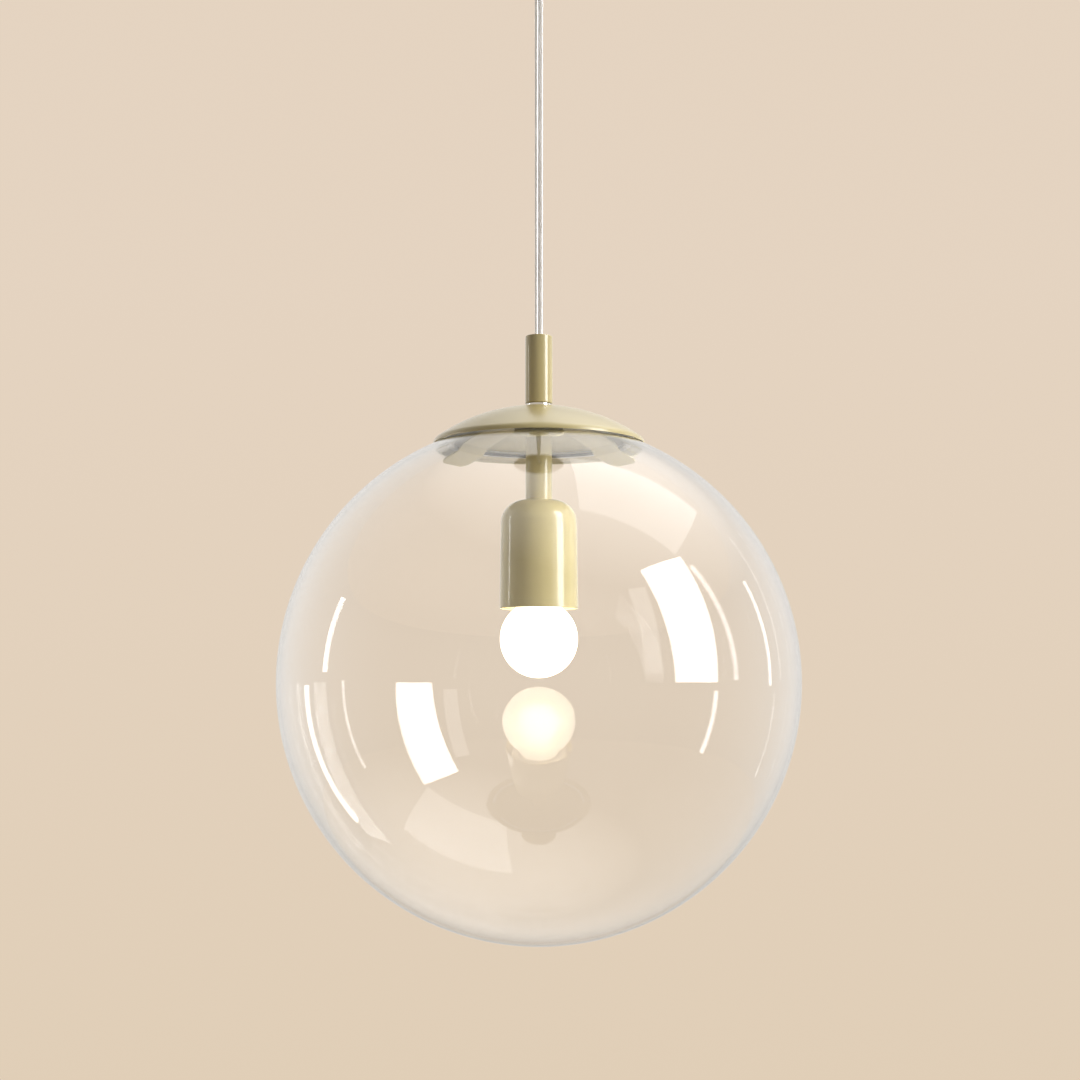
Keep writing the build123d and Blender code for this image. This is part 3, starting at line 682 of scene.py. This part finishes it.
globe = turned("clear_globe", globe_outline(), segments=384)
dress(globe, "globe", "clear_glass")
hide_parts("glass_globe")
globe.visible_shadow = False

# ---- Stem and lampholder ------------------------------------------------------------------------
STEM_R = width_radius("stem_tube")
stem = turned(
    "stem",
    rounded(
        [
            (BORE_R, low("stem_tube"), 0),
            (STEM_R, low("stem_tube"), 0.3 * MM),
            (STEM_R, high("stem_tube"), 0.3 * MM),
            (BORE_R, high("stem_tube"), 0),
        ]
    ),
    segments=128,
)
dress(stem, "lamp", "painted_metal")
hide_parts("stem_tube")

COVER_R = width_radius("holder_cover")
COVER_TOP_R = 22.0 * MM
COVER_LOW = low("holder_cover")
COVER_TOP = high("holder_cover")
COVER_WALL = 1.0 * MM
SHOULDER_R = 13.0 * MM
cover = turned(
    "holder_cup",
    rounded(
        [
            (BORE_R, COVER_TOP, 0),
            (COVER_TOP_R, COVER_TOP, SHOULDER_R),
            (COVER_R, COVER_LOW, 0.45 * MM),
            (COVER_R - COVER_WALL, COVER_LOW, 0.45 * MM),
            (COVER_TOP_R - COVER_WALL, COVER_TOP - COVER_WALL, SHOULDER_R - COVER_WALL),
            (BORE_R, COVER_TOP - COVER_WALL, 0),
        ],
        steps=16,
    ),
    segments=192,
)
dress(cover, "lamp", "painted_metal")
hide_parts("holder_cover")

# ---- Bulb ---------------------------------------------------------------------------------------
BULB_R = width_radius("bulb_globe")
BULB_Z = low("bulb_globe") + BULB_R
NECK_R = 13.4 * MM
NECK_TOP = high("bulb_globe")
BULB_WALL = 0.8 * MM


def bulb_outline():
    """Section of the opal ball with its short straight neck."""
    inner_ball = BULB_R - BULB_WALL
    inner_neck = NECK_R - BULB_WALL
    outer_end = degrees(acos(NECK_R / BULB_R))
    inner_start = degrees(acos(inner_neck / inner_ball))
    outer = arc(BULB_Z, BULB_R, -90, outer_end, 80)
    inner = arc(BULB_Z, inner_ball, inner_start, -90, 60)
    return outer + [(NECK_R, NECK_TOP), (inner_neck, NECK_TOP)] + inner


ball = turned("opal_ball", bulb_outline(), segments=160)
dress(ball, "bulb", "opal_glass")
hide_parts("bulb_globe")

GLOW_R = 0.55 * BULB_R
glow = turned("led_glow", arc(BULB_Z, GLOW_R, -90, 90, 40), segments=96)
dress(glow, "bulb", "circuit_board", finish="led_glow")

# ---- Screw cap and screw shell ------------------------------------------------------------------
E27_LEAD = 3.629 * MM
THREAD_DEPTH = 0.35 * MM
THREAD_LOW_R = 12.0 * MM  # nearer the axis than this, the sheet is plain


def e27_wave(low_z, high_z):
    """Radius offset of a right-hand E27 thread that fades in and out between two heights."""

    def offset(radius, angle, height):
        if radius < THREAD_LOW_R or not low_z < height < high_z:
            return 0
        fade = min(1, 2 * (height - low_z) / E27_LEAD, 2 * (high_z - height) / E27_LEAD)
        turn = 2 * pi * height / E27_LEAD - angle
        return -THREAD_DEPTH * fade * (0.5 - 0.5 * cos(turn))

    return offset


def wall(radius, start_z, end_z):
    """Points up or down a cylinder, fine enough for its thread."""
    count = max(2, round(abs(end_z - start_z) / E27_LEAD * 12))
    return [(radius, start_z + (end_z - start_z) * step / count) for step in range(count + 1)]


CAP_THREAD_R = width_radius("bulb_screw_cap")
CAP_SHEET = 0.4 * MM
SCREW_CAP_LOW = low("bulb_screw_cap")
SCREW_CAP_TOP = high("bulb_screw_cap")
SCREW_SHOULDER_Z = SCREW_CAP_TOP - 2.6 * MM
SCREW_CAP_TOP_R = 8.0 * MM
screw_cap = turned(
    "threaded_cap",
    wall(CAP_THREAD_R, SCREW_CAP_LOW, SCREW_SHOULDER_Z)
    + [(SCREW_CAP_TOP_R, SCREW_CAP_TOP), (SCREW_CAP_TOP_R, SCREW_CAP_TOP - CAP_SHEET)]
    + wall(CAP_THREAD_R - CAP_SHEET, SCREW_SHOULDER_Z - CAP_SHEET, SCREW_CAP_LOW),
    segments=128,
    thread=e27_wave(SCREW_CAP_LOW + 1.5 * MM, SCREW_SHOULDER_Z),
)
dress(screw_cap, "bulb", "nickel")
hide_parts("bulb_screw_cap")

SHELL_OUTER_R = width_radius("screw_shell")
SHELL_SHEET = 0.5 * MM
SHELL_LOW = low("screw_shell")
SHELL_TOP = high("screw_shell")
SHELL_TOP_R = 9.0 * MM
shell = turned(
    "threaded_shell",
    wall(SHELL_OUTER_R, SHELL_TOP, SHELL_LOW)
    + wall(SHELL_OUTER_R - SHELL_SHEET, SHELL_LOW, SHELL_TOP - SHELL_SHEET)
    + [(SHELL_TOP_R, SHELL_TOP - SHELL_SHEET), (SHELL_TOP_R, SHELL_TOP)],
    segments=128,
    thread=e27_wave(SHELL_LOW + 1.0 * MM, SHELL_TOP - 1.5 * MM),
)
dress(shell, "lamp", "brass")
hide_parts("screw_shell")

# ---- Ceiling rose -------------------------------------------------------------------------------
ROSE_R = width_radius("rose_cover")
ROSE_LOW = low("rose_cover")
ROSE_TOP = high("rose_cover")
ROSE_EDGE_R = 4.0 * MM
rose = turned(
    "rose_cup",
    rounded(
        [
            (BORE_R, ROSE_LOW, 0),
            (ROSE_R, ROSE_LOW, ROSE_EDGE_R),
            (ROSE_R, ROSE_TOP, 0.3 * MM),
            (ROSE_R - SHEET, ROSE_TOP, 0.3 * MM),
            (ROSE_R - SHEET, ROSE_LOW + SHEET, ROSE_EDGE_R - SHEET),
            (BORE_R, ROSE_LOW + SHEET, 0),
        ],
        steps=10,
    ),
    segments=192,
)
dress(rose, "rose", "painted_metal")
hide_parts("rose_cover")

# ---- CAD nodes that stay ------------------------------------------------------------------------
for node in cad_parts.values():
    for material_slot in node.material_slots:
        material_slot.material = finishes[material_slot.material.name]

# ---- Studio -------------------------------------------------------------------------------------
BACKDROP_HIGH = (0.780, 0.655, 0.532)
BACKDROP_LOW = (0.748, 0.620, 0.475)
OVERHEAD = (0.28, 0.10, 0.955)  # direction of the soft light overhead
FLOOR_Z = -1.5
FLOOR_R = 2.5
FLOOR_LIGHT_Z = -0.75
FLOOR_LIGHT_SIZE = 8.0
FLOOR_RADIANCE = 0.40


def softbox(name, azimuth, elevation, distance, size, radiance, colour=(1, 1, 1), turn=0.0):
    """A rectangular light that faces the globe's centre. Azimuth is from -Y towards +X."""
    data = bpy.data.lights.new(name, "AREA")
    data.shape = "RECTANGLE"
    data.size, data.size_y = size
    data.energy = radiance * 4 * size[0] * size[1]
    data.color = colour
    light = bpy.data.objects.new(name, data)
    scene.collection.objects.link(light)
    az, el = radians(azimuth), radians(elevation)
    toward = Vector((sin(az) * cos(el), -cos(az) * cos(el), sin(el)))
    light.location = Vector((0, 0, GLOBE_Z)) + toward * distance
    light.rotation_mode = "QUATERNION"
    facing = toward.to_track_quat("Z", "Y")
    light.rotation_quaternion = facing @ Matrix.Rotation(radians(turn), 3, "Z").to_quaternion()
    light.visible_camera = False
    return light


softbox("key_right", 66, 21, 1.5, (0.58, 1.15), 6.2)
softbox("fill_right", 46, 19, 1.5, (0.20, 0.85), 0.8)
softbox("top_light", 100, 62, 1.6, (0.95, 1.0), 0.78)
softbox("rim_right", 111, 12, 1.6, (0.035, 0.72), 4.0)
softbox("low_left", -112, -18, 1.6, (0.09, 1.0), 3.2)
softbox("rim_left", -98, 13, 1.6, (0.07, 0.58), 5.0)


def colour_ramp(tree, value, low, high, stops):
    """A colour ramp over a range of a value, with (position, colour) stops."""
    spread = tree.nodes.new("ShaderNodeMapRange")
    spread.inputs["From Min"].default_value = low
    spread.inputs["From Max"].default_value = high
    tree.links.new(value, spread.inputs["Value"])
    ramp = tree.nodes.new("ShaderNodeValToRGB")
    tree.links.new(spread.outputs["Result"], ramp.inputs["Fac"])
    elements = ramp.color_ramp.elements
    while len(elements) < len(stops):
        elements.new(0.5)
    for element, (position, colour) in zip(elements, stops):
        element.position = (position - low) / (high - low)
        element.color = (*colour, 1)
    return ramp.outputs["Color"]


def colour_mix(tree, blend, factor, first, second):
    """A colour mix; the factor is a number or an output."""
    mix = tree.nodes.new("ShaderNodeMix")
    mix.data_type = "RGBA"
    mix.blend_type = blend
    if isinstance(factor, float):
        mix.inputs[0].default_value = factor
    else:
        tree.links.new(factor, mix.inputs[0])
    colours = [socket for socket in mix.inputs if socket.type == "RGBA"]
    tree.links.new(first, colours[0])
    tree.links.new(second, colours[1])
    return next(socket for socket in mix.outputs if socket.type == "RGBA")


def math_node(tree, operation, first, second):
    """A math node's output; the second term is a number or an output."""
    node = tree.nodes.new("ShaderNodeMath")
    node.operation = operation
    tree.links.new(first, node.inputs[0])
    if isinstance(second, float):
        node.inputs[1].default_value = second
    else:
        tree.links.new(second, node.inputs[1])
    return node.outputs["Value"]


def make_world():
    """A plain warm backdrop for the eye; for reflections, a pale room that is darker in front."""
    world = bpy.data.worlds.new("studio")
    scene.world = world
    world.use_nodes = True
    tree = world.node_tree
    tree.nodes.clear()
    place = tree.nodes.new("ShaderNodeTexCoord")
    split = tree.nodes.new("ShaderNodeSeparateXYZ")
    tree.links.new(place.outputs["Generated"], split.inputs["Vector"])
    height, depth = split.outputs["Z"], split.outputs["Y"]

    backdrop = colour_ramp(tree, height, -0.4, 0.4, [(-0.25, BACKDROP_LOW), (0.25, BACKDROP_HIGH)])
    walls = colour_ramp(
        tree,
        height,
        -1.0,
        1.0,
        [
            (-0.6, (0.50, 0.47, 0.43)),
            (-0.1, (0.82, 0.79, 0.75)),
            (0.25, (0.88, 0.85, 0.81)),
            (0.70, (0.72, 0.70, 0.67)),
        ],
    )
    shade = colour_ramp(tree, depth, -1.0, 1.0, [(-0.25, (0.13, 0.12, 0.11)), (0.60, (1, 1, 1))])
    room = colour_mix(tree, "MULTIPLY", 1.0, walls, shade)
    mirrored = colour_ramp(tree, depth, -1.0, 1.0, [(-0.35, (0.66, 0.61, 0.54)), (0.60, (1, 1, 1))])
    shine = colour_mix(tree, "MULTIPLY", 1.0, walls, mirrored)

    toward = tree.nodes.new("ShaderNodeVectorMath")
    toward.operation = "DOT_PRODUCT"
    toward.inputs[1].default_value = OVERHEAD
    tree.links.new(place.outputs["Generated"], toward.inputs[0])
    overhead = colour_ramp(
        tree, toward.outputs["Value"], 0.0, 1.0, [(0.66, (0, 0, 0)), (0.95, (1.22, 1.18, 1.12))]
    )
    path = tree.nodes.new("ShaderNodeLightPath")
    shine = colour_mix(tree, "ADD", 1.0, shine, overhead)
    scattered = math_node(tree, "MINIMUM", path.outputs["Diffuse Depth"], 1.0)
    room = colour_mix(tree, "MIX", scattered, shine, room)

    bounces = math_node(tree, "ADD", path.outputs["Diffuse Depth"], path.outputs["Glossy Depth"])
    bounced = math_node(tree, "MINIMUM", bounces, 1.0)
    seen = colour_mix(tree, "MIX", bounced, backdrop, room)
    background = tree.nodes.new("ShaderNodeBackground")
    output = tree.nodes.new("ShaderNodeOutputWorld")
    tree.links.new(seen, background.inputs["Color"])
    tree.links.new(background.outputs["Background"], output.inputs["Surface"])


make_world()


def clear_to_bounces(material):
    """Let light that an object has scattered pass, so that the room alone sends light back."""
    tree = material.node_tree
    output = next(node for node in tree.nodes if node.type == "OUTPUT_MATERIAL")
    shader = output.inputs["Surface"].links[0].from_socket
    path = tree.nodes.new("ShaderNodeLightPath")
    clear = tree.nodes.new("ShaderNodeBsdfTransparent")
    mix = tree.nodes.new("ShaderNodeMixShader")
    scattered = math_node(tree, "MINIMUM", path.outputs["Diffuse Depth"], 1.0)
    tree.links.new(scattered, mix.inputs[0])
    tree.links.new(shader, mix.inputs[1])
    tree.links.new(clear.outputs["BSDF"], mix.inputs[2])
    tree.links.new(mix.outputs["Shader"], output.inputs["Surface"])


clear_to_bounces(
    surface("studio_floor", (0.80, 0.68, 0.54), 0.7, tint=0.02, mottle=3.0, grain=300.0)
)
work = bmesh.new()
bmesh.ops.create_circle(work, cap_ends=True, segments=96, radius=FLOOR_R)
floor_mesh = bpy.data.meshes.new("floor")
work.to_mesh(floor_mesh)
work.free()
floor = new_piece("floor", floor_mesh)
floor.location.z = FLOOR_Z
floor_mesh.materials.append(finishes["studio_floor"])
floor.visible_glossy = False
floor.visible_diffuse = False

# A wide soft light above the floor, facing down, makes the floor as pale as the backdrop.
floor_data = bpy.data.lights.new("floor_light", "AREA")
floor_data.size = FLOOR_LIGHT_SIZE
floor_data.energy = FLOOR_RADIANCE * 4 * FLOOR_LIGHT_SIZE**2
floor_light = bpy.data.objects.new("floor_light", floor_data)
scene.collection.objects.link(floor_light)
floor_light.location.z = FLOOR_LIGHT_Z
floor_light.visible_camera = False
floor_light.visible_glossy = False
floor_light.visible_transmission = False
